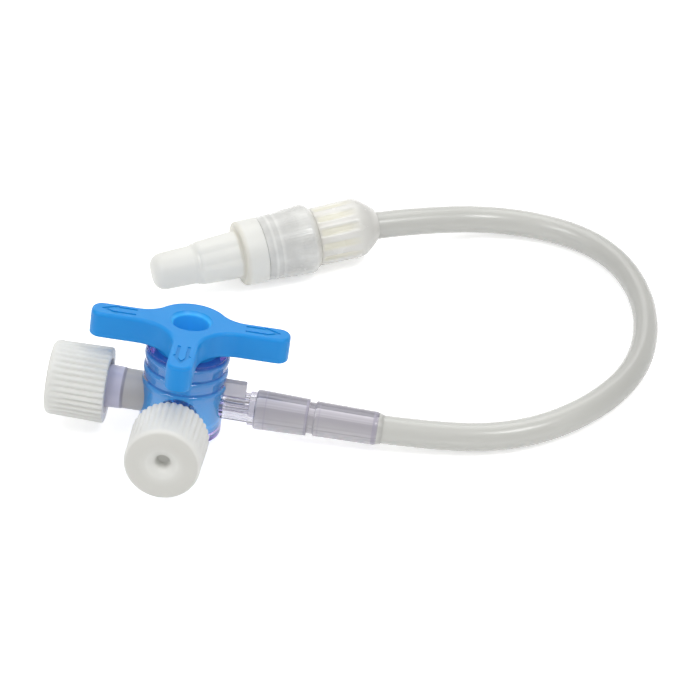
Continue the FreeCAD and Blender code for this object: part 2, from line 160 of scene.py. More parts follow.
def bore(radius, low, high, steps=64, top=None):
    """A plain or tapered rod, used to cut a hole."""
    return lathe([(0, low), (radius, low), (radius if top is None else top, high), (0, high)], steps)


def piece(name, bm, matrix=None):
    """An object from a bmesh, its place in its mesh."""
    if matrix is not None:
        bm.transform(matrix)
    mesh = bpy.data.meshes.new(name)
    bm.to_mesh(mesh)
    bm.free()
    obj = bpy.data.objects.new(name, mesh)
    bpy.context.scene.collection.objects.link(obj)
    return obj


def joined(name, base, added, cut):
    """One closed mesh: the base with some bodies added and others cut away."""
    obj = piece(name, base)
    tools = []
    for number, (operation, bm) in enumerate(
            [("UNION", bm) for bm in added] + [("DIFFERENCE", bm) for bm in cut]):
        tool = piece("%s_tool_%d" % (name, number), bm)
        tools.append(tool)
        step = obj.modifiers.new(tool.name, "BOOLEAN")
        step.operation = operation
        step.solver = "EXACT"
        step.object = tool
    bake(obj)
    for tool in tools:
        mesh = tool.data
        bpy.data.objects.remove(tool)
        bpy.data.meshes.remove(mesh)
    return obj


def bake(obj):
    """Apply every modifier of an object to its mesh."""
    graph = bpy.context.evaluated_depsgraph_get()
    mesh = bpy.data.meshes.new_from_object(obj.evaluated_get(graph))
    obj.modifiers.clear()
    old = obj.data
    obj.data = mesh
    bpy.data.meshes.remove(old)


def place(obj, matrix):
    obj.data.transform(matrix)
    obj.data.update()


def carve(bm, depth_at):
    """Points moved towards the Z axis by depth_at(point, distance from the axis, angle) in mm."""
    for vert in bm.verts:
        flat = math.hypot(vert.co.x, vert.co.y)
        depth = depth_at(vert, flat, math.atan2(vert.co.y, vert.co.x))
        if depth:
            give = 1 - depth / flat
            vert.co.x *= give
            vert.co.y *= give


def clamped(value):
    return min(1.0, max(0.0, value))


def rounded_box(size, low, radius, segments, upright=False):
    """A slab with rounded edges, or with only its upright edges rounded."""
    bm = slab(size, low)
    edges = [e for e in bm.edges if not upright or abs(e.verts[0].co.z - e.verts[1].co.z) > 1]
    bmesh.ops.bevel(bm, geom=edges, offset=radius, affect="EDGES", segments=segments,
                    profile=0.5, material=-1)
    return bm


def finish_mesh(obj, material):
    """Smooth shading with crisp edges, and the material."""
    bm = bmesh.new()
    bm.from_mesh(obj.data)
    bmesh.ops.remove_doubles(bm, verts=bm.verts, dist=2e-7)
    bmesh.ops.dissolve_degenerate(bm, edges=bm.edges, dist=1e-7)
    limit = math.radians(CREASE)
    for face in bm.faces:
        face.smooth = True
    for line in bm.edges:
        line.smooth = len(line.link_faces) == 2 and line.calc_face_angle(0.0) < limit
    bm.to_mesh(obj.data)
    bm.free()
    step = obj.modifiers.new("normals", "WEIGHTED_NORMAL")
    step.keep_sharp = True
    obj.data.materials.clear()
    obj.data.materials.append(material)


def mark(obj, name, test):
    """A point attribute with what the test gives for each point of the mesh, 0 to 1."""
    layer = obj.data.attributes.new(name, "FLOAT", "POINT")
    for vert in obj.data.vertices:
        layer.data[vert.index].value = float(test(vert.co))


def arc(cx, cy, radius, start, stop, count):
    """Points on an arc, angles in degrees."""
    out = []
    for i in range(count + 1):
        a = math.radians(start + (stop - start) * i / count)
        out.append((cx + radius * math.cos(a), cy + radius * math.sin(a)))
    return out


# materials

def socket(group, name, direction, kind, value=None):
    item = group.interface.new_socket(name=name, in_out=direction, socket_type=kind)
    if value is not None:
        item.default_value = value
    return item


def moulded_skin():
    """Fine unevenness of moulded plastic: tone, gloss and a faint ripple."""
    group = bpy.data.node_groups.get("moulded_skin")
    if group:
        return group
    group = bpy.data.node_groups.new("moulded_skin", "ShaderNodeTree")
    socket(group, "Colour", "INPUT", "NodeSocketColor", (0.8, 0.8, 0.8, 1))
    socket(group, "Second colour", "INPUT", "NodeSocketColor", (0.7, 0.7, 0.7, 1))
    for entry, value in (("Patch size", 300.0), ("Gloss low", 0.2), ("Gloss high", 0.4),
                         ("Grain size", 2500.0), ("Grain depth", 0.05)):
        socket(group, entry, "INPUT", "NodeSocketFloat", value)
    socket(group, "Colour", "OUTPUT", "NodeSocketColor")
    socket(group, "Roughness", "OUTPUT", "NodeSocketFloat")
    socket(group, "Normal", "OUTPUT", "NodeSocketVector")
    nodes, links = group.nodes, group.links
    given = nodes.new("NodeGroupInput")
    result = nodes.new("NodeGroupOutput")
    where = nodes.new("ShaderNodeTexCoord")
    patches = nodes.new("ShaderNodeTexNoise")
    patches.inputs["Detail"].default_value = 3.0
    grain = nodes.new("ShaderNodeTexNoise")
    grain.inputs["Detail"].default_value = 2.0
    tone = nodes.new("ShaderNodeMix")
    tone.data_type = "RGBA"
    gloss = nodes.new("ShaderNodeMapRange")
    bump = nodes.new("ShaderNodeBump")
    bump.inputs["Distance"].default_value = 0.00004
    links.new(where.outputs["Object"], patches.inputs["Vector"])
    links.new(where.outputs["Object"], grain.inputs["Vector"])
    links.new(given.outputs["Patch size"], patches.inputs["Scale"])
    links.new(given.outputs["Grain size"], grain.inputs["Scale"])
    links.new(patches.outputs["Fac"], tone.inputs["Factor"])
    links.new(given.outputs["Colour"], tone.inputs[MIX_BASE])
    links.new(given.outputs["Second colour"], tone.inputs[MIX_OVER])
    links.new(patches.outputs["Fac"], gloss.inputs["Value"])
    gloss.inputs["From Min"].default_value = 0.3
    gloss.inputs["From Max"].default_value = 0.7
    links.new(given.outputs["Gloss low"], gloss.inputs["To Min"])
    links.new(given.outputs["Gloss high"], gloss.inputs["To Max"])
    links.new(grain.outputs["Fac"], bump.inputs["Height"])
    links.new(given.outputs["Grain depth"], bump.inputs["Strength"])
    links.new(tone.outputs[MIX_RESULT], result.inputs["Colour"])
    links.new(gloss.outputs["Result"], result.inputs["Roughness"])
    links.new(bump.outputs["Normal"], result.inputs["Normal"])
    return group


def plastic(name, colour, second, gloss=(0.2, 0.35), patch=250.0, grain=(2500.0, 0.05),
            glow=0.0, reach=0.0, clear=0.0, ior=1.5):
    """A moulded plastic. glow scatters light inside it, clear lets light through."""
    material = bpy.data.materials.new(name)
    material.use_nodes = True
    nodes, links = material.node_tree.nodes, material.node_tree.links
    shader = nodes["Principled BSDF"]
    skin = nodes.new("ShaderNodeGroup")
    skin.node_tree = moulded_skin()
    for entry, value in (("Colour", (*colour, 1)), ("Second colour", (*second, 1)), ("Patch size", patch),
                         ("Gloss low", gloss[0]), ("Gloss high", gloss[1]),
                         ("Grain size", grain[0]), ("Grain depth", grain[1])):
        skin.inputs[entry].default_value = value
    for result, entry in (("Colour", "Base Color"), ("Roughness", "Roughness"), ("Normal", "Normal")):
        links.new(skin.outputs[result], shader.inputs[entry])
    shader.inputs["IOR"].default_value = ior
    shader.inputs["Transmission Weight"].default_value = clear
    if glow > 0:
        shader.inputs["Subsurface Weight"].default_value = glow
        shader.inputs["Subsurface Radius"].default_value = (1.0, 1.0, 1.0)
        shader.inputs["Subsurface Scale"].default_value = reach
    return material


def tree_of(material):
    """A material's nodes, its links and its moulded skin."""
    nodes, links = material.node_tree.nodes, material.node_tree.links
    return nodes, links, next((node for node in nodes if node.type == "GROUP"), None)


def laid_over(nodes, links, base, colour, mask):
    """The colour where the mask is 1, over a base that is a colour or a socket."""
    mix = nodes.new("ShaderNodeMix")
    mix.data_type = "RGBA"
    if isinstance(base, bpy.types.NodeSocket):
        links.new(base, mix.inputs[MIX_BASE])
    else:
        mix.inputs[MIX_BASE].default_value = base
    mix.inputs[MIX_OVER].default_value = (*colour, 1)
    links.new(mask, mix.inputs["Factor"])
    return mix.outputs[MIX_RESULT]


def facing_share(nodes, links, vector, direction):
    """How far a vector points along a direction."""
    dot = nodes.new("ShaderNodeVectorMath")
    dot.operation = "DOT_PRODUCT"
    dot.inputs[1].default_value = direction
    links.new(vector, dot.inputs[0])
    return dot.outputs["Value"]


def from_origin(nodes, links, matrix):
    """The place on the piece, from a drawing's origin."""
    where = nodes.new("ShaderNodeTexCoord")
    arm = nodes.new("ShaderNodeVectorMath")
    arm.operation = "SUBTRACT"
    arm.inputs[1].default_value = matrix.translation
    links.new(where.outputs["Object"], arm.inputs[0])
    return arm.outputs["Vector"]


def let_light_in(material, tint):
    """Shadow rays pass a clear plastic tinted."""
    nodes, links, _ = tree_of(material)
    shader = nodes["Principled BSDF"]
    result = nodes["Material Output"]
    path = nodes.new("ShaderNodeLightPath")
    open_way = nodes.new("ShaderNodeBsdfTransparent")
    open_way.inputs["Color"].default_value = (*tint, 1)
    mix = nodes.new("ShaderNodeMixShader")
    links.new(path.outputs["Is Shadow Ray"], mix.inputs["Fac"])
    links.new(shader.outputs["BSDF"], mix.inputs[1])
    links.new(open_way.outputs["BSDF"], mix.inputs[2])
    links.new(mix.outputs["Shader"], result.inputs["Surface"])
    return material


def second_tone(material, colour, mask):
    """A second colour on part of a finish, where the mask is 1."""
    nodes, links, skin = tree_of(material)
    for name, share in (("Colour", 1.0), ("Second colour", 0.97)):
        base = skin.inputs[name].default_value
        links.new(laid_over(nodes, links, base, [v * share for v in colour], mask), skin.inputs[name])
    return material


def grooved(material, colour, mask):
    """The colour where the mask is 1, over whatever the finish has there."""
    nodes, links, skin = tree_of(material)
    for name in ("Colour", "Second colour"):
        base = skin.inputs[name].links[0].from_socket
        links.new(laid_over(nodes, links, base, colour, mask), skin.inputs[name])
    return material


def surface_mask(material, name):
    """A mask that a piece carries as an attribute."""
    node = material.node_tree.nodes.new("ShaderNodeAttribute")
    node.attribute_name = name
    return node.outputs["Fac"]


def ramped(material, value, stops, patches):
    """The finish's colour from a value, by (value, colour) stops."""
    nodes, links, skin = tree_of(material)
    low, high = stops[0][0], stops[-1][0]
    span = nodes.new("ShaderNodeMapRange")
    span.inputs["From Min"].default_value = low
    span.inputs["From Max"].default_value = high
    bands = nodes.new("ShaderNodeValToRGB")
    ramp = bands.color_ramp
    ramp.elements[0].color = (*stops[0][1], 1)
    ramp.elements[1].color = (*stops[-1][1], 1)
    for at, tone in stops[1:-1]:
        ramp.elements.new((at - low) / (high - low)).color = (*tone, 1)
    darker = nodes.new("ShaderNodeVectorMath")
    darker.operation = "SCALE"
    darker.inputs["Scale"].default_value = patches
    links.new(value, span.inputs["Value"])
    links.new(span.outputs["Result"], bands.inputs["Fac"])
    links.new(bands.outputs["Color"], darker.inputs[0])
    links.new(bands.outputs["Color"], skin.inputs["Colour"])
    links.new(darker.outputs["Vector"], skin.inputs["Second colour"])
    return material


def banded(material, matrix, stops, patches=0.96):
    """Colours along a drawing's Z axis, from (distance in mm, colour) stops."""
    nodes, links, _ = tree_of(material)
    axis = matrix.to_3x3().col[2].normalized()
    along = facing_share(nodes, links, from_origin(nodes, links, matrix), axis)
    return ramped(material, along, [(at * MM, tone) for at, tone in stops], patches)


def shade(colour, share, warm=0.0):
    """A colour made darker or lighter, and warmer by taking blue away."""
    return (colour[0] * share, colour[1] * share * (1 - 0.3 * warm), colour[2] * share * (1 - warm))


def shades(colour, stops):
    """Stops of one colour, from (place, share[, warm])."""
    return [(stop[0], shade(colour, *stop[1:])) for stop in stops]


def painted_light_by_facing(material, direction, stops):
    """Painted light and shade in long streaks: colours by how far a surface faces a direction, from -1 to
    1.
    """
    nodes, links, _ = tree_of(material)
    where = nodes.new("ShaderNodeTexCoord")
    return ramped(material, facing_share(nodes, links, where.outputs["Normal"], direction), stops, 0.97)


def painted_edge_shade(material, colour, start):
    """Clear plastic painted darker where it is seen edge on: painted shade."""
    nodes, links, _ = tree_of(material)
    base = nodes["Principled BSDF"].inputs["Base Color"]
    edge = nodes.new("ShaderNodeLayerWeight")
    edge.inputs["Blend"].default_value = 0.5
    share = nodes.new("ShaderNodeMapRange")
    share.inputs["From Min"].default_value = start
    links.new(edge.outputs["Facing"], share.inputs["Value"])
    links.new(laid_over(nodes, links, base.links[0].from_socket, colour, share.outputs["Result"]), base)
    return material


def outside_barrel(material):
    """1 on what stands out of the barrel, 0 on the barrel."""
    nodes, links, _ = tree_of(material)
    across = nodes.new("ShaderNodeVectorMath")
    across.operation = "CROSS_PRODUCT"
    across.inputs[1].default_value = STOPCOCK.to_3x3().col[2].normalized()
    away = nodes.new("ShaderNodeVectorMath")
    away.operation = "LENGTH"
    edge = nodes.new("ShaderNodeMapRange")
    edge.inputs["From Min"].default_value, edge.inputs["From Max"].default_value = TONE_STEP
    links.new(from_origin(nodes, links, STOPCOCK), across.inputs[0])
    links.new(across.outputs["Vector"], away.inputs[0])
    links.new(away.outputs["Value"], edge.inputs["Value"])
    return edge.outputs["Result"]


def finish(name):
    """A finish by name, made once from the panel's colours."""
    found = bpy.data.materials.get(name)
    if found:
        return found
    c = bpy.context.scene.stopcock_finishes
    if name == "clear lavender polycarbonate":
        made = plastic(name, c.clear, [v * 0.97 for v in c.clear], (0.05, 0.10), 180, (900, 0.02),
                       clear=0.97, ior=1.58)
        # painted shade: dark lines in the three rings' grooves, a dark band under the handle and a dark
        # base
        banded(made, STOPCOCK, [
            (-5.0, c.ring), (-4.1, c.ring), (-3.7, c.clear), (3.3, c.clear), (3.44, c.ring),
            (3.58, c.clear), (5.5, c.clear), (5.64, c.ring), (5.78, c.clear), (7.6, c.clear),
            (7.8, c.ring), (8.35, c.ring)])
        # painted shade: the ports greyer than the barrel, standing for darker surroundings seen in them
        grooved(made, c.ports, outside_barrel(made))
        # painted light: the plug's blue on the front port's root, where the plug shows through
        grooved(made, c.deep, surface_mask(made, "front"))
        painted_edge_shade(made, shade(c.ring, 0.7), 0.35)
        return let_light_in(made, (0.97, 0.96, 0.99))
    if name == "clear sleeve plastic":
        made = plastic(name, c.sleeve, c.sleeve, (0.07, 0.14), 180, (900, 0.02), clear=0.4, ior=1.5)
        # painted light and shade by which way the surface faces: lighter streaks and a dark upper band
        painted_light_by_facing(made, PAINTED_SHADE_FACING, shades(c.sleeve, (
            (-1.0, 0.7), (-0.9, 1.3), (-0.66, 1.25), (-0.62, 0.82), (-0.57, 1.16), (-0.45, 1.02),
            (-0.42, 0.9), (-0.3, 1), (0.0, 0.88), (0.14, 0.86), (0.19, 1.12), (0.24, 0.98),
            (0.33, 1.2), (0.37, 1.04), (0.5, 1.18), (0.555, 1.45), (0.59, 1.3)))
            + shades(c.sleeve_painted_shade, ((0.61, 1), (0.86, 1.05))) + shades(c.sleeve, ((0.94, 0.92), (1.0, 1))))
        # painted shade lines at the sleeve's rings and the socket's end
        grooved(made, c.ring_line_shade, surface_mask(made, "ring"))
        painted_edge_shade(made, c.rim, 0.82)
        return let_light_in(made, (0.96, 0.95, 0.98))
    if name == "frosted port plastic":
        made = plastic(name, c.frost, [v * 0.96 for v in c.frost], (0.3, 0.4), 200, (1500, 0.05),
                       clear=0.28, ior=1.45)
        second_tone(made, c.tab, surface_mask(made, "thick"))
        # painted shade line at the side port's step
        grooved(made, shade(c.ring_line_shade, 0.6), surface_mask(made, "ring"))
        painted_edge_shade(made, c.rim, 0.75)
        return let_light_in(made, (0.96, 0.95, 0.98))
    if name == "blue polyethylene":
        made = plastic(name, c.blue, [v * 0.93 for v in c.blue], (0.36, 0.46), 220, (2600, 0.12),
                       glow=0.25, reach=0.0012, ior=1.42)
        # painted light: the plug inside the barrel and the inside of the handle's hole in a lighter blue
        second_tone(made, c.plug, surface_mask(made, "plug"))
        # painted shade in the arrows' recesses
        return grooved(made, shade(c.blue, 0.84), surface_mask(made, "arrow"))
    if name == "white polyethylene":
        made = plastic(name, c.white, [v * 0.97 for v in c.white], (0.40, 0.52), 220, (2600, 0.12),
                       glow=0.3, reach=0.0012)
        # painted light: the dish round the hole left lighter, the flat face round it painted darker
        return second_tone(made, shade(c.white, 0.88, 0.02), surface_mask(made, "face"))
    if name == "milky tubing":
        made = plastic(name, c.tube, c.tube, (0.20, 0.25), 160, (1800, 0.05), glow=0.4, reach=0.0015)
        # painted shade: the tube darker towards its right bend
        return banded(made, TO_TUBE, shades(c.tube, ((0.0, 1), (56.0, 1), (69.0, 0.82), (74.0, 0.8))))
    if name == "white end cap":
        made = plastic(name, c.cap, c.cap, (0.34, 0.44), 220, (2600, 0.08), glow=0.3, reach=0.0012)
        # painted shade in the corner between the flange and the body, and slightly at the step and the tip
        return banded(made, CONNECTOR, shades(c.cap, (
            (18.8, 0.98), (21.6, 1), (22.2, 0.92, 0.08), (22.6, 0.88, 0.12), (23.1, 1), (28.6, 1),
            (29.4, 0.97), (30.2, 1), (36.5, 0.96))))
    if name == "cloudy hub plastic":
        made = plastic(name, c.hub, c.hub, (0.20, 0.30), 220, (1800, 0.06), glow=0.4, reach=0.0012)
        # painted darker over the cone, where the tube shows through, with painted shade towards the collar
        banded(made, CONNECTOR, shades(c.hub, (
            (0.0, 0.86), (1.6, 0.78), (2.9, 0.86), (3.9, 0.93), (7.0, 1), (10.0, 0.94, 0.04))), 0.84)
        return grooved(made, c.groove, surface_mask(made, "groove"))
    if name == "cloudy collar plastic":
        made = plastic(name, c.collar, c.collar, (0.15, 0.30), 420, (1500, 0.12), glow=0.4, reach=0.0012)
        # painted shade at the rear rim beside the hub, painted highlights in the light bands near the
        # flange end
        return banded(made, CONNECTOR, shades(c.collar, (
            (10.2, 0.88, 0.08), (10.7, 0.96, 0.03), (11.2, 1.02), (13.2, 1), (14.4, 0.94), (16.0, 0.96),
            (16.3, 1.05), (16.5, 1.08), (16.7, 0.94), (17.3, 0.96), (17.5, 1.10), (17.7, 1.06),
            (17.9, 0.94), (18.7, 0.98))), 0.62)
    raise RuntimeError("no finish called " + name)


# sizes and colours a user would change

def length(name, description, value):
    return FloatProperty(name=name, description=description, default=value * MM, unit="LENGTH",
                         subtype="DISTANCE", precision=5)


def colour(name, description, value):
    return FloatVectorProperty(name=name, description=description, default=value, size=3,
                               subtype="COLOR", min=0, max=1)


class StopcockSizes(bpy.types.PropertyGroup):
    """Sizes of the stopcock itself."""
    barrel_radius: length("Barrel radius", "Outer radius of the clear barrel", 6.1)
    bore_radius: length("Bore radius", "Radius of the barrel's bore", 4.7)
    barrel_top: length("Barrel top", "Height of the barrel above the ports' axis", 8.35)
    barrel_base: length("Barrel base", "Depth of the barrel below the ports' axis", 4.8)
    handle_top: length("Handle top", "Height of the handle above the ports' axis", 12.8)
    handle_thick: length("Handle thickness", "Thickness of the handle's arms", 4.0)
    arm_length: length("Arm length", "Reach of each arm from the tap's axis", 14.6)
    arm_half: length("Arm half width", "Half the width of an arm", 1.9)
    port_end: length("Port length", "Reach of a capped port from the tap's axis", 18.3)


class CapSizes(bpy.types.PropertyGroup):
    """Sizes of the two port caps."""
    start: length("Open end", "Distance of the cap's rim from the tap's axis", 11.25)
    end: length("Closed end", "Distance of the cap's face from the tap's axis", 20.0)
    rim_radius: length("Rim radius", "Outer radius at the open rim", 5.65)
    face_radius: length("Face radius", "Outer radius at the closed end", 5.5)
    ribs: IntProperty(name="Ribs", description="Number of grip ribs", default=36, min=12, max=90)
    rib_depth: length("Rib depth", "Depth of the grip ribs", 0.3)


class LineSizes(bpy.types.PropertyGroup):
    """Sizes of the tube and its connector."""
    tube_radius: length("Tube radius", "Outer radius of the tube", 2.1)
    hub_radius: length("Hub radius", "Outer radius of the connector's ribbed hub", 4.7)
    collar_radius: length("Collar radius", "Largest outer radius of the collar", 5.45)
    flange_radius: length("Flange radius", "Outer radius of the end cap's flange", 5.05)


class StopcockFinishes(bpy.types.PropertyGroup):
    """Colours of the finishes."""
    clear: colour("Clear barrel", "Tint of the clear barrel", (0.97, 0.96, 1.0))
    # painted shade in the barrel's ring grooves, under the handle, at its base and on its edges seen edge
    # on
    ring: colour("Barrel rings", "Tint of the barrel's grooves and edges", (0.26, 0.16, 0.52))
    # painted light: the plug's blue seen through the clear front port's root
    deep: colour("Front port", "Blue tint of the clear front port beside the plug", (0.30, 0.50, 0.97))
    # painted shade on clear plastic seen edge on
    rim: colour("Clear rims", "Tint of clear plastic seen edge on", (0.30, 0.27, 0.42))
    # painted shade: the clear neck and the front port's root greyer, standing for darker surroundings seen
    # in them
    ports: colour("Clear ports", "Tint of the clear neck and of the front port's root", (0.68, 0.67, 0.71))
    frost: colour("Frosted port", "Colour of both ports' outer parts", (0.65, 0.64, 0.77))
    tab: colour("Port neck", "Colour of the side port's neck", (0.52, 0.51, 0.50))
    # painted shade on the upper side of the sleeve and the socket
    sleeve_painted_shade: colour("Clear shade", "Colour of the upper side of the sleeve and socket", (0.33, 0.32, 0.36))
    # painted shade: dark lines at the clear tubes' rings and steps
    ring_line_shade: colour("Clear ring lines", "Colour of the thin rings on clear tubes", (0.45, 0.43, 0.52))
    sleeve: colour("Clear sleeve", "Colour of the sleeve and the tube's socket", (0.60, 0.58, 0.62))
    blue: colour("Blue tap", "Colour of the tap", (0.004, 0.28, 0.74))
    # painted light: a lighter copy of the tap's blue for the plug inside the barrel and the handle's hole
    plug: colour("Blue plug", "Colour of the tap inside the barrel", (0.05, 0.50, 1.0))
    white: colour("White caps", "Colour of the port caps", (0.74, 0.74, 0.71))
    tube: colour("Tube", "Colour of the milky tube", (0.58, 0.58, 0.55))
    cap: colour("End cap", "Colour of the connector's cap", (0.80, 0.80, 0.76))
    hub: colour("Hub", "Colour of the connector's hub", (0.85, 0.84, 0.80))
    groove: colour("Hub grooves", "Colour of the hub's grooves", (0.79, 0.77, 0.66))
    collar: colour("Collar", "Colour of the connector's collar", (0.83, 0.83, 0.80))


def mm(value):
    return value / MM


# operators

class STOPCOCK_OT_body(bpy.types.Operator):
    """Build the clear barrel with its three ports"""
    bl_idname = "stopcock.body"
    bl_label = "Clear body"

    def execute(self, context):
        s = context.scene.stopcock_sizes
        r, hole = mm(s.barrel_radius), mm(s.bore_radius)
        top, base = mm(s.barrel_top), -mm(s.barrel_base)
        end = mm(s.port_end)
        outline = [(0, base), (r, base, 0.35)]
        for middle in (3.4, 5.6, 7.8):
            outline += [(r - 0.02, middle - 1.2), (r + 0.06, middle - 0.95), (r + 0.12, middle - 0.7),
                        (r + 0.13, middle - 0.5), (r + 0.09, middle - 0.3), (r, middle - 0.14),
                        (r - 0.14, middle - 0.02), (r - 0.32, middle + 0.06), (r - 0.34, middle + 0.14)]
            if middle < 7:
                outline += [(r - 0.16, middle + 0.3, 0.06), (r - 0.06, middle + 0.7)]
        outline += [(r, top, 0.3), (0, top)]
        barrel = lathe(outline, 128)

        def port(near=()):
            return lathe([(0, 2), (2.96, 2), *near, (2.98, 8.4), (2.98, 8.6, 0.05), (3.08, 8.8, 0.05),
                          (3.09, 9.0), (3.2, 12.0), (3.2, end, 0.2), (0, end)], 72)

        side, front = port(), port([(2.965, 6.3)])
        side.transform(TO_SIDE)
        front.transform(TO_FRONT)
        lugs = []
        for turn in (TO_SIDE, TO_FRONT):
            lug = rounded_box((7.6, 3.2, 1.2), (-3.8, -1.6, end - 1.4), 0.7, 4, upright=True)
            lug.transform(turn)
            lugs.append(lug)
        neck = lathe([(0, 2), (2.2, 2), (2.2, 10.2), (0, 10.2)], 80)
        for vert in neck.verts:
            flat = math.hypot(vert.co.x, vert.co.y)
            if flat > 1 and vert.co.z > 1:
                angle = math.atan2(vert.co.y, vert.co.x)
                dip = max(0.0, math.cos(10 * (angle - math.radians(18)))) ** 2
                vert.co.x *= 1 - 0.15 * dip
                vert.co.y *= 1 - 0.15 * dip
        collar = lathe([(0, 9.9), (2.5, 9.9, 0.15), (2.5, 10.95), (0, 10.95)], 72)
        cup = lathe([(0, 10.8), (2.95, 10.8, 0.4), (2.93, 11.9, 0.1), (2.92, 12.2), (2.915, 12.35),
                     (2.91, 12.55), (2.75, 18.2), (2.74, 18.35), (2.73, 18.7, 0.12), (0, 18.7)], 72)
        for bm in (neck, collar, cup):
            bm.transform(TO_TUBE)
        tab = rounded_box((3.6, 1.3, 2.5), (5.6, -0.65, 1.5), 0.18, 2)
        cuts = [lathe([(0, base - 1), (hole, base - 1), (hole, -3.75), (hole + 0.3, -3.35),
                       (hole + 0.3, -2.65), (hole, -2.25), (hole, top + 1), (0, top + 1)], 96)]
        for turn in (TO_SIDE, TO_FRONT):
            taper = bore(LUER_MOUTH - LUER_TAPER * LUER_DEPTH, end - LUER_DEPTH, end + 0.01, 48, LUER_MOUTH)
            passage = bore(PASSAGE, 0, end - 5, 40)
            taper.transform(turn)
            passage.transform(turn)
            cuts += [taper, passage]
        seat = bore(mm(context.scene.stopcock_line.tube_radius) + 0.03, 11.6, 19, 48)
        channel = bore(PASSAGE, 0, 13, 40)
        seat.transform(TO_TUBE)
        channel.transform(TO_TUBE)
        body = joined("clear_body", barrel, [side, front] + lugs + [neck, collar, cup, tab],
                      cuts + [seat, channel])
        mark(body, "thick", lambda co: -8.7 < co.x < -4.0)
        # where painted shade lines go: the socket's end, the side port's step and a ring on the cup
        mark(body, "ring", lambda co: 0.8 if co.x > 18.3 or -8.9 < co.x < -8.5
             else 0.5 if 12.3 < co.x < 12.4 else 0.0)
        # where the plug's blue is painted on the front port's root
        mark(body, "front", lambda co: -8.5 < co.y < -6.2)
        place(body, STOPCOCK)
        finish_mesh(body, finish("clear lavender polycarbonate"))
        body.data.materials.append(finish("clear sleeve plastic"))
        body.data.materials.append(finish("frosted port plastic"))
        inward = STOPCOCK.inverted()
        for face in body.data.polygons:
            co = inward @ face.center
            outside = math.hypot(co.x, co.y) > r + PORT_STEP
            if outside and (co.x < -5 or co.y < -9.3):
                face.material_index = 2
            elif co.x > 10.9 or (outside and co.z > 2.15 and 5.0 < co.x < 9.3):
                face.material_index = 1
        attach(body, "stopcock")
        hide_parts("stopcock_body")
        return {"FINISHED"}


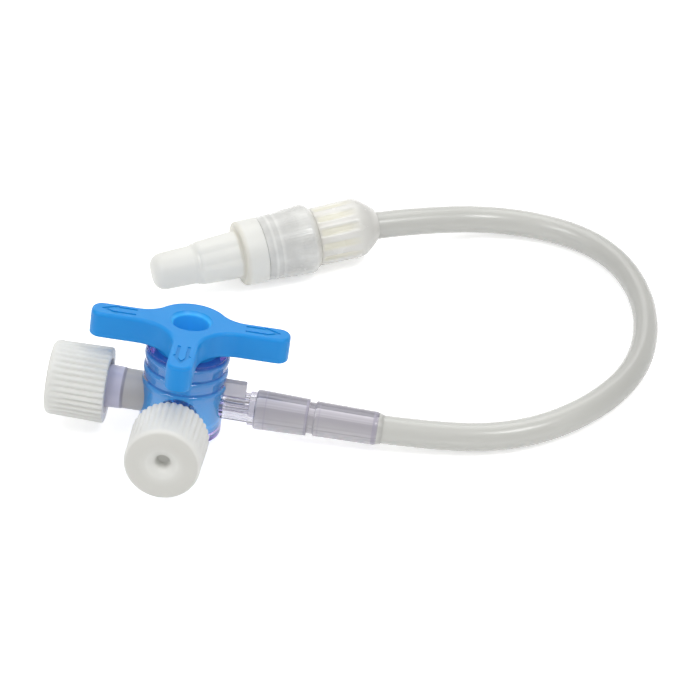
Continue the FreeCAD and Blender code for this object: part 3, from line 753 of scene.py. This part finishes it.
class STOPCOCK_OT_tap(bpy.types.Operator):
    """Build the blue tap: plug, hub and three arms with arrows"""
    bl_idname = "stopcock.tap"
    bl_label = "Blue tap"

    def execute(self, context):
        s = context.scene.stopcock_sizes
        top, thick = mm(s.handle_top), mm(s.handle_thick)
        reach, half = mm(s.arm_length), mm(s.arm_half)
        hub, back, corner = 5.7, 4.5, 5.5
        far = math.sqrt((hub + back) ** 2 - (half + back) ** 2)
        lean = math.degrees(math.atan2(half + back, far))
        outline = []
        tips = []

        def tip(points):
            tips.extend(range(len(outline), len(outline) + len(points)))
            outline.extend(points)

        outline += arc(half + corner, -half - corner, corner, 180, 90, 14)
        tip([(reach, -half), (reach, half)])
        outline += arc(far, half + back, back, 270, 180 + lean, 10)
        outline += arc(0, 0, hub, lean, 180 - lean, 24)[1:-1]
        outline += arc(-far, half + back, back, 360 - lean, 270, 10)
        tip([(-reach, half), (-reach, -half)])
        outline += arc(-half - corner, -half - corner, corner, 90, 0, 14)
        tip([(-half, -reach), (half, -reach)])
        bm = bmesh.new()
        verts = [bm.verts.new((x, y, top - thick)) for x, y in outline]
        bm.faces.new(verts)
        bm.verts.ensure_lookup_table()
        bmesh.ops.bevel(bm, geom=[bm.verts[i] for i in tips], offset=0.85 * half, affect="VERTICES",
                        segments=6, profile=0.5, material=-1)
        walls = bmesh.ops.extrude_face_region(bm, geom=bm.faces[:])
        bmesh.ops.translate(bm, vec=(0, 0, thick),
                            verts=[g for g in walls["geom"] if isinstance(g, bmesh.types.BMVert)])
        bmesh.ops.recalc_face_normals(bm, faces=bm.faces)
        rims = [e for e in bm.edges if abs(e.verts[0].co.z - e.verts[1].co.z) < 1e-6
                and e.verts[0].co.z > top - 0.1]
        bmesh.ops.bevel(bm, geom=rims, offset=0.55, affect="EDGES", segments=4, profile=0.5, material=-1)
        low = [e for e in bm.edges if abs(e.verts[0].co.z - e.verts[1].co.z) < 1e-6
               and e.verts[0].co.z < top - thick + 0.01 and len(e.link_faces) == 2
               and e.calc_face_angle(0) > 1]
        bmesh.ops.bevel(bm, geom=low, offset=0.3, affect="EDGES", segments=3, profile=0.5, material=-1)
        plug_r = mm(s.bore_radius) + 0.01
        plug = lathe([(0, -3.9), (plug_r, -3.9, 0.4), (plug_r, -3.75), (plug_r + 0.3, -3.35, 0.1),
                      (plug_r + 0.3, -2.65, 0.1), (plug_r, -2.25), (plug_r, top - thick + 0.5),
                      (0, top - thick + 0.5)], 96)
        across = bore(PASSAGE, -6, 6, 40)
        across.transform(TO_TUBE)
        front = bore(PASSAGE, 0, 6, 40)
        front.transform(TO_FRONT)
        hole = lathe([(0, 3.4), (2.4, 3.4, 0.3), (2.62, top - 0.5, 0.15), (3.2, top + 0.08),
                      (3.2, top + 1), (0, top + 1)], 96)
        cuts = [across, front, hole]
        for angle in (0, 180, 270):
            for side in (-1, 1):
                for a, b in (((8.2, 0.72 * side), (11.1, 0.72 * side)),
                             ((11.1, 0.72 * side), (10.95, 1.0 * side)),
                             ((10.95, 1.0 * side), (12.8, 0.0))):
                    long = math.hypot(b[0] - a[0], b[1] - a[1])
                    stroke = slab((long + 0.42, 0.48, 0.6), (-0.21, -0.24, -0.12))
                    stroke.transform(
                        Matrix.Rotation(math.radians(angle), 4, "Z")
                        @ Matrix.Translation((a[0], a[1], top))
                        @ Matrix.Rotation(math.atan2(b[1] - a[1], b[0] - a[0]), 4, "Z"))
                    cuts.append(stroke)
        tap = joined("blue_tap", bm, [plug], cuts)
        # where painted light goes: the plug under the handle and the handle's hole
        mark(tap, "plug", lambda co: co.z < top - thick - 0.02 or math.hypot(co.x, co.y) < 2.75)
        # where painted shade goes: the floors of the arrows' recesses
        mark(tap, "arrow", lambda co: co.z < top - 0.08 and max(abs(co.x), abs(co.y)) > 7.5
             and min(abs(co.x), abs(co.y)) < 1.45 and co.z > top - 0.2)
        place(tap, STOPCOCK @ Matrix.Rotation(math.radians(TAP_TURN), 4, "Z"))
        finish_mesh(tap, finish("blue polyethylene"))
        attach(tap, "tap")
        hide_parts("tap_handle")
        return {"FINISHED"}


class STOPCOCK_OT_caps(bpy.types.Operator):
    """Build the two ribbed port caps"""
    bl_idname = "stopcock.caps"
    bl_label = "Port caps"

    def execute(self, context):
        c = context.scene.stopcock_caps
        start, end = mm(c.start), mm(c.end)
        rim, face = mm(c.rim_radius), mm(c.face_radius)
        floor = end - 1.15
        port_end = mm(context.scene.stopcock_sizes.port_end)
        root = 2.12 + LUER_TAPER * (floor - port_end)
        for name, turn, out, node, deep, soft in (
                ("side_cap", TO_SIDE, SIDE_CAP_OUT, "side_port_cap", 1.0, 2.2),
                ("front_cap", TO_FRONT, FRONT_CAP_OUT, "front_port_cap", 0.75, 4.5)):
            bm = lathe([
                (0, port_end - 6.6), (1.92, port_end - 6.6, 0.2), (root, floor, 0.15), (4.02, floor, 0.3),
                (4.02, start + 0.3), (4.15, start), (rim - 0.1, start, 0.08), (rim, start + 0.3),
                (rim - 0.02, start + 1.2), (rim - 0.04, start + 2.4), (rim - 0.07, start + 3.6),
                (rim - 0.09, start + 4.8), (rim - 0.12, start + 6.0), (rim - 0.14, start + 7.2),
                (face + 0.03, end - 1.2), (face + 0.02, end - 0.8), (face, end, 0.7), (3.4, end),
                (3.0, end - 0.05), (2.6, end - 0.16), (2.2, end - 0.34), (1.8, end - 0.58),
                (1.45, end - 0.82), (1.2, end - 1.05), (1.08, end - 1.4), (1.0, end - 2.6, 0.2),
                (0, end - 2.6),
            ], c.ribs * 10)
            depth = deep * mm(c.rib_depth)

            def rib(vert, flat, angle):
                if flat < 4.6 or vert.co.z > end - 0.3:
                    return 0.0
                wave = 0.5 - 0.5 * math.cos(c.ribs * angle)
                return depth * clamped((end - 0.5 - vert.co.z) / soft) * wave ** 1.6

            carve(bm, rib)
            # how much painted shade the face gets: none at the dish, full towards the face's edge
            mask = bm.verts.layers.float.new("face")
            for vert in bm.verts:
                if vert.co.z > end - 0.2:
                    vert[mask] = clamped((math.hypot(vert.co.x, vert.co.y) - 1.6) / 1.7)
            cap = piece(name, bm, STOPCOCK @ turn @ Matrix.Translation((0, 0, out)))
            finish_mesh(cap, finish("white polyethylene"))
            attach(cap, name)
            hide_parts(node)
        return {"FINISHED"}


class STOPCOCK_OT_line(bpy.types.Operator):
    """Build the soft tube and the clear sleeve on it"""
    bl_idname = "stopcock.line"
    bl_label = "Tube and sleeve"

    def execute(self, context):
        r = mm(context.scene.stopcock_line.tube_radius)
        bm = lathe([
            (r + 0.03, 18.75), (r + 0.22, 18.75), (r + 0.22, 19.6, 0.1), (2.62, 19.6, 0.3), (2.6, 20.1),
            (2.595, 20.3), (2.59, 20.5), (2.48, 28.15), (2.478, 28.3), (2.475, 28.55), (2.44, 28.7),
            (2.36, 29.0), (r + 0.05, 29.7), (r + 0.03, 29.7),
        ], 72, ring=True)
        # where painted shade lines go on the sleeve's rings
        ring = bm.verts.layers.float.new("ring")
        for vert in bm.verts:
            if 28.25 < vert.co.z < 28.75 or 20.2 < vert.co.z < 20.4:
                vert[ring] = 0.7 if vert.co.z > 28 else 0.4
        sleeve = piece("clear_sleeve", bm, STOPCOCK @ TO_TUBE)
        finish_mesh(sleeve, finish("clear sleeve plastic"))
        sleeve.data.materials.append(finish("milky tubing"))
        inward = (STOPCOCK @ TO_TUBE).inverted()
        for face in sleeve.data.polygons:
            face.material_index = int((inward @ face.center).z > 28.95)
        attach(sleeve, "stopcock")
        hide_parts("tube_sleeve")

        curve = bpy.data.curves.new("soft_tube", "CURVE")
        curve.dimensions = "3D"
        spline = curve.splines.new("NURBS")
        spline.points.add(len(ROUTE) - 1)
        for point, where, width in zip(spline.points, ROUTE, ROUTE_WIDTH):
            point.co = (*where, 1)
            point.radius = width
        spline.order_u = 3
        spline.use_endpoint_u = True
        spline.resolution_u = 24
        curve.bevel_depth = r * MM
        curve.bevel_resolution = 10
        curve.use_fill_caps = True
        tube = bpy.data.objects.new("soft_tube", curve)
        context.scene.collection.objects.link(tube)
        curve.materials.append(finish("milky tubing"))
        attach(tube, "stopcock")
        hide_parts("extension_tube")
        return {"FINISHED"}


class STOPCOCK_OT_connector(bpy.types.Operator):
    """Build the ribbed hub, its rotating collar and its cap"""
    bl_idname = "stopcock.connector"
    bl_label = "Luer lock connector"

    def execute(self, context):
        line = context.scene.stopcock_line
        r = mm(line.tube_radius)
        hub_r, collar_r, flange_r = mm(line.hub_radius), mm(line.collar_radius), mm(line.flange_radius)
        bm = lathe([
            (0, 6.5), (r + 0.02, 6.5), (r + 0.02, 0), (2.35, 0, 0.1), (3.55, 1.35, 0.5), (hub_r, 3.0, 0.8),
            (hub_r - 0.03, 4.2), (hub_r - 0.06, 6.0), (hub_r - 0.1, 8.0), (hub_r - 0.13, 9.6),
            (hub_r - 0.15, 10.2, 0.03), (2.85, 10.2), (2.85, 12.17), (3.25, 12.17, 0.1), (3.1, 13.0),
            (2.2, 13.0), (1.97, 20.8, 0.2), (PASSAGE, 20.8, 0.1), (PASSAGE, 8), (0, 8),
        ], 144)
        groove = bm.verts.layers.float.new("groove")

        def grip(vert, flat, angle):
            if flat < 3.6 or not 3.3 < vert.co.z < 10.05:
                return 0.0
            wave = math.cos(12 * (angle - math.radians(15)))
            vert[groove] = clamped(wave * 1.3 + 0.35) * min(1.0, (vert.co.z - 3.3) / 2.0)
            return 0.26 * vert[groove]

        carve(bm, grip)
        hub = piece("connector_hub", bm, CONNECTOR)
        finish_mesh(hub, finish("cloudy hub plastic"))
        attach(hub, "stopcock")
        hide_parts("luer_hub")

        inner = [(3.95, 18.81, 0.1)]
        z = 18.2
        while z > 12.9:
            inner += [(3.95, z), (3.75, z - 0.22, 0.05), (3.75, z - 0.45, 0.05), (3.95, z - 0.67)]
            z -= 1.25
        bm = lathe([
            (2.9, 10.23, 0.1), (collar_r - 0.85, 10.23, 0.06), (collar_r, 11.25, 0.3),
            (collar_r - 0.12, 13.0), (collar_r - 0.26, 15.0), (collar_r - 0.3, 15.6),
            (collar_r - 0.5, 18.81, 0.06),
        ] + inner + [(3.95, 12.05, 0.3), (2.9, 12.05)], 432, ring=True)

        def knurl(vert, flat, angle):
            if flat < 4.6 or not 11.3 < vert.co.z < 15.4:
                return 0.0
            return 0.018 * (0.5 + 0.5 * math.cos(72 * angle))

        carve(bm, knurl)
        collar = piece("connector_collar", bm, CONNECTOR)
        finish_mesh(collar, finish("cloudy collar plastic"))
        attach(collar, "collar")
        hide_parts("luer_lock_collar")

        start, flange = 13.65, 18.85
        body, step = flange + 3.6, flange + 10.85
        end = step + 6.6
        bm = lathe([
            (0, 33), (1.5, 33), (1.5, 21.3), (2.0, 21.3), (2.24, start), (3.45, start, 0.15),
            (3.45, flange, 0.1), (flange_r, flange, 0.12), (flange_r, body, 0.5), (3.98, body, 0.4),
            (3.93, body + 1.5), (3.83, body + 3.3), (3.72, body + 5.0), (3.62, step - 0.8, 0.3),
            (2.98, step, 0.3), (2.93, step + 2.5), (2.82, end, 1.6), (0, end),
        ], 120)

        def flats(vert, flat, angle):
            if flat < 3.0 or not body + 0.3 < vert.co.z < step - 0.3:
                return 0.0
            return 0.28 * clamped(0.5 - 1.2 * math.cos(4 * angle))

        carve(bm, flats)
        cap = piece("connector_cap", bm, CONNECTOR)
        finish_mesh(cap, finish("white end cap"))
        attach(cap, "end_cap")
        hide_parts("luer_end_cap")

        return {"FINISHED"}


class STOPCOCK_OT_stage(bpy.types.Operator):
    """Set the pale floor, the soft lamps and the camera"""
    bl_idname = "stopcock.stage"
    bl_label = "Stage"

    def execute(self, context):
        scene = context.scene
        bm = bmesh.new()
        bmesh.ops.create_grid(bm, x_segments=1, y_segments=1, size=1.5)
        floor = piece("floor", bm, Matrix.Translation((0, 0, -0.00005)))
        white = bpy.data.materials.new("white table")
        white.use_nodes = True
        nodes, links = white.node_tree.nodes, white.node_tree.links
        shader = nodes["Principled BSDF"]
        shader.inputs["Base Color"].default_value = (0.9, 0.9, 0.9, 1)
        shader.inputs["Roughness"].default_value = 0.8
        shader.inputs["Emission Color"].default_value = (1, 1, 1, 1)
        path = nodes.new("ShaderNodeLightPath")
        seen = nodes.new("ShaderNodeMath")
        seen.operation = "ADD"
        seen.use_clamp = True
        more = nodes.new("ShaderNodeMath")
        more.operation = "ADD"
        more.use_clamp = True
        share = nodes.new("ShaderNodeMath")
        share.operation = "MULTIPLY"
        share.inputs[1].default_value = 0.48
        links.new(path.outputs["Is Camera Ray"], seen.inputs[0])
        links.new(path.outputs["Is Glossy Ray"], seen.inputs[1])
        links.new(seen.outputs[0], more.inputs[0])
        links.new(path.outputs["Is Transmission Ray"], more.inputs[1])
        links.new(more.outputs[0], share.inputs[0])
        links.new(share.outputs[0], shader.inputs["Emission Strength"])
        floor.data.materials.append(white)

        world = bpy.data.worlds.new("soft room")
        scene.world = world
        world.use_nodes = True
        sky = world.node_tree.nodes["Background"]
        sky.inputs["Color"].default_value = (1, 1, 1, 1)
        nodes, links = world.node_tree.nodes, world.node_tree.links
        where = nodes.new("ShaderNodeTexCoord")
        facing = facing_share(nodes, links, where.outputs["Generated"], (0.0, -0.35, 0.94))
        room = nodes.new("ShaderNodeMapRange")
        for entry, value in (("From Min", 0.0), ("From Max", 0.5), ("To Min", 1.0), ("To Max", 0.35)):
            room.inputs[entry].default_value = value
        path = nodes.new("ShaderNodeLightPath")
        seen = nodes.new("ShaderNodeMix")
        seen.inputs[3].default_value = 1.0
        level = nodes.new("ShaderNodeMix")
        level.inputs[3].default_value = 0.56
        links.new(facing, room.inputs["Value"])
        links.new(path.outputs["Is Camera Ray"], seen.inputs[0])
        links.new(room.outputs["Result"], seen.inputs[2])
        links.new(path.outputs["Diffuse Depth"], level.inputs[0])
        links.new(seen.outputs[0], level.inputs[2])
        links.new(level.outputs[0], sky.inputs["Strength"])

        for name, where, energy, size in (
                ("behind", (0.05, 0.45, 0.55), 1.1, 0.4),
                ("over left", (-0.24, -0.16, 0.58), 0.85, 0.2),
                ("over right", (0.27, -0.16, 0.58), 0.95, 0.17),
                ("left", (-0.6, -0.35, 0.35), 0.45, 0.25),
                ("right", (0.65, -0.35, 0.35), 0.2, 0.25)):
            lamp = bpy.data.lights.new(name, "AREA")
            lamp.energy = energy
            lamp.size = size
            holder = bpy.data.objects.new(name, lamp)
            scene.collection.objects.link(holder)
            holder.location = where
            aim = Vector((0.02, 0.02, 0.0)) - Vector(where)
            holder.rotation_euler = aim.to_track_quat("-Z", "Y").to_euler()

        lens = bpy.data.cameras.new("camera")
        lens.lens = 169.71
        lens.sensor_width = 36
        lens.clip_start = 0.01
        camera = bpy.data.objects.new("camera", lens)
        scene.collection.objects.link(camera)
        camera.location = (0.025380, -0.348951, 0.335319)
        camera.rotation_euler = (math.radians(48), 0, 0)
        scene.camera = camera
        scene.view_settings.view_transform = "Standard"
        return {"FINISHED"}


class STOPCOCK_PT_panel(bpy.types.Panel):
    """Lists the stopcock's pieces"""
    bl_label = "Stopcock"
    bl_idname = "STOPCOCK_PT_panel"
    bl_space_type = "VIEW_3D"
    bl_region_type = "UI"
    bl_category = "Stopcock"

    def draw(self, context):
        for name in ("stopcock_sizes", "stopcock_caps", "stopcock_line", "stopcock_finishes"):
            box = self.layout.box()
            group = getattr(context.scene, name)
            for prop in group.bl_rna.properties:
                if prop.identifier not in ("rna_type", "name"):
                    box.prop(group, prop.identifier)
        for operator in OPERATORS:
            self.layout.operator(operator.bl_idname)


OPERATORS = (
    STOPCOCK_OT_body,
    STOPCOCK_OT_tap,
    STOPCOCK_OT_caps,
    STOPCOCK_OT_line,
    STOPCOCK_OT_connector,
    STOPCOCK_OT_stage,
)
GROUPS = (StopcockSizes, CapSizes, LineSizes, StopcockFinishes)
CLASSES = GROUPS + OPERATORS + (STOPCOCK_PT_panel,)


def register():
    for cls in CLASSES:
        bpy.utils.register_class(cls)
    scene = bpy.types.Scene
    scene.stopcock_sizes = PointerProperty(type=StopcockSizes)
    scene.stopcock_caps = PointerProperty(type=CapSizes)
    scene.stopcock_line = PointerProperty(type=LineSizes)
    scene.stopcock_finishes = PointerProperty(type=StopcockFinishes)


def unregister():
    scene = bpy.types.Scene
    del scene.stopcock_finishes
    del scene.stopcock_line
    del scene.stopcock_caps
    del scene.stopcock_sizes
    for cls in reversed(CLASSES):
        bpy.utils.unregister_class(cls)


def main():
    register()
    bpy.ops.stopcock.body()
    bpy.ops.stopcock.tap()
    bpy.ops.stopcock.caps()
    bpy.ops.stopcock.line()
    bpy.ops.stopcock.connector()
    bpy.ops.stopcock.stage()


if __name__ == "__main__":
    main()
